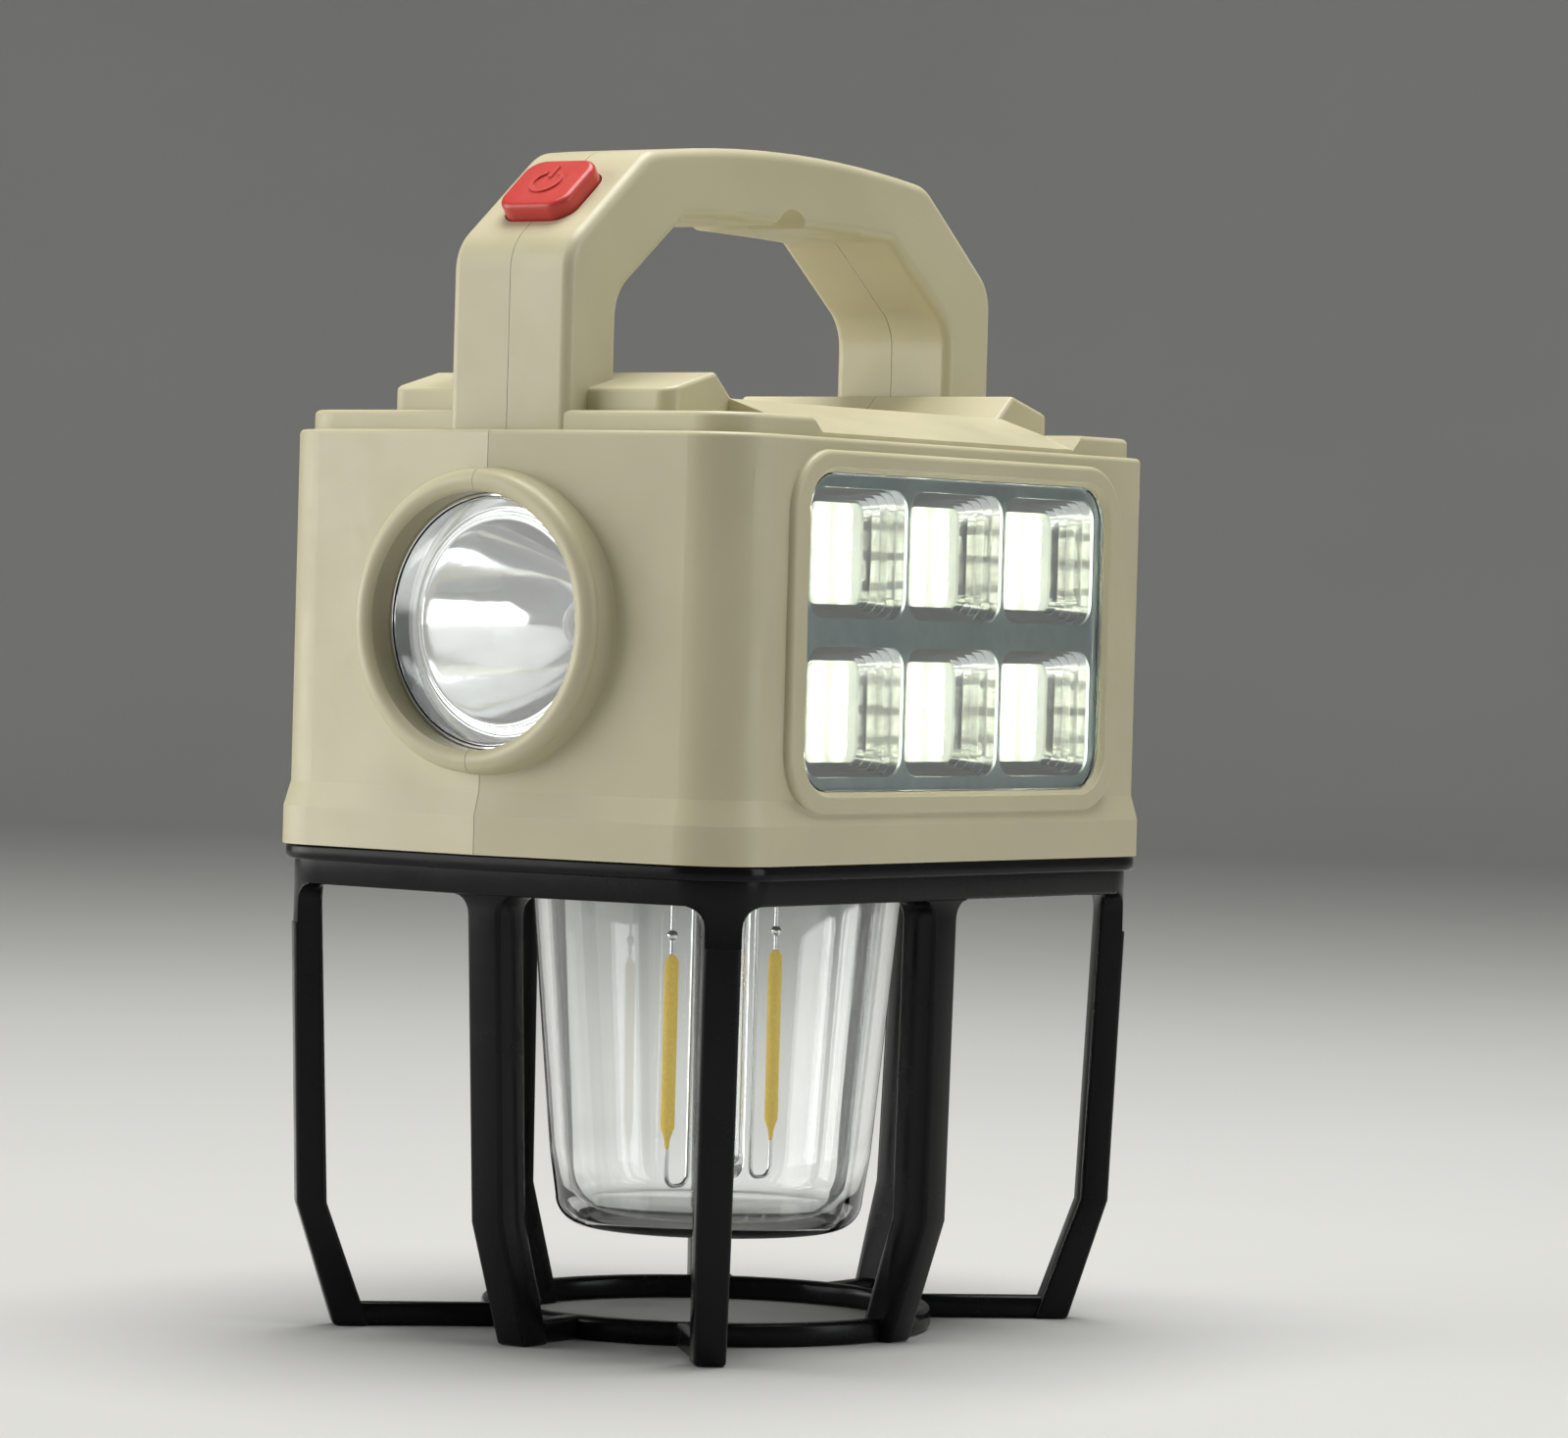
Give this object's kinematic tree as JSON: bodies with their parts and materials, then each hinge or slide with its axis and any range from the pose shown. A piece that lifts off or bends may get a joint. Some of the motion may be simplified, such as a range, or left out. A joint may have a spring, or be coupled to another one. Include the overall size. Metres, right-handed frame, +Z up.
{
  "type": "camping lantern",
  "caption": "Boxy camping lantern with arched carry handle, torch, flood light, solar panel and a filament globe in a leg cage.",
  "frame": {"origin": "on the globe's axis, in the plane that the cage's feet stand on", "axes": "+Z up through the handle; -Y is the torch's direction; +X is the flood light's side"},
  "size_m": [0.0948, 0.1352, 0.192],
  "materials": {
    "board_aluminium": "bare",
    "board_green": "solder mask",
    "board_white": "solder mask",
    "button_red": "satin",
    "cage_black": "glossy moulded",
    "cell_wrap": "shrink sleeve",
    "clear_plastic": "clear polished",
    "filament_yellow": "phosphor",
    "housing_cream": "satin moulded",
    "inner_black": "matte",
    "led_phosphor": "lit phosphor",
    "light_pipe": "diffuse",
    "reflector_chrome": "vacuum metallised",
    "rubber_black": "matte",
    "rubber_grey": "matte",
    "solar_blue": "polycrystalline wafer",
    "steel": "zinc plated",
    "wire_steel": "bright"
  },
  "bodies": {
    "root": {"base_deck": "cage_black", "battery_cells": "cell_wrap", "battery_holder": "inner_black", "cage_crown": "cage_black", "cage_foot_ring": "cage_black", "cage_leg_front": "cage_black", "cage_leg_front_left": "cage_black", "cage_leg_front_right": "cage_black", "cage_leg_left": "cage_black", "cage_leg_rear": "cage_black", "cage_leg_rear_left": "cage_black", "cage_leg_rear_right": "cage_black", "cage_leg_right": "cage_black", "cage_screws": "steel", "cage_spokes": "cage_black", "charge_lights": "light_pipe", "charge_socket": "wire_steel", "filament_leads": "wire_steel", "filament_stem": "clear_plastic", "filaments": "filament_yellow", "flood_board": "board_white", "flood_leds": "led_phosphor", "flood_lens": "clear_plastic", "flood_reflector": "reflector_chrome", "globe": "clear_plastic", "globe_seal": "rubber_black", "handle_left": "housing_cream", "handle_right": "housing_cream", "handle_screws": "steel", "housing_left": "housing_cream", "housing_right": "housing_cream", "housing_screws": "steel", "lamp_base": "inner_black", "main_board": "board_green", "solar_backing": "board_white", "solar_cell": "solar_blue", "solar_cover": "clear_plastic", "switch_board": "board_green", "switch_case": "inner_black", "torch_board": "board_aluminium", "torch_led": "led_phosphor", "torch_lens": "clear_plastic", "torch_reflector": "reflector_chrome"},
    "button": {"power_button": "button_red", "switch_plunger": "inner_black"},
    "port_flap": {"port_cover": "rubber_grey"}
  },
  "joints": [
    {"name": "power_button_press", "type": "slide", "parent": "root", "child": "button", "axis": [0, 0.6214, -0.7835], "range_m": [0, 0.001], "stiffness_N_per_m": 900},
    {"name": "port_cover_hinge", "type": "hinge", "parent": "root", "child": "port_flap", "pos_m": [0, 0.0669, 0.1055], "axis": [-1, 0, 0], "range_deg": [0, 120]}
  ]
}
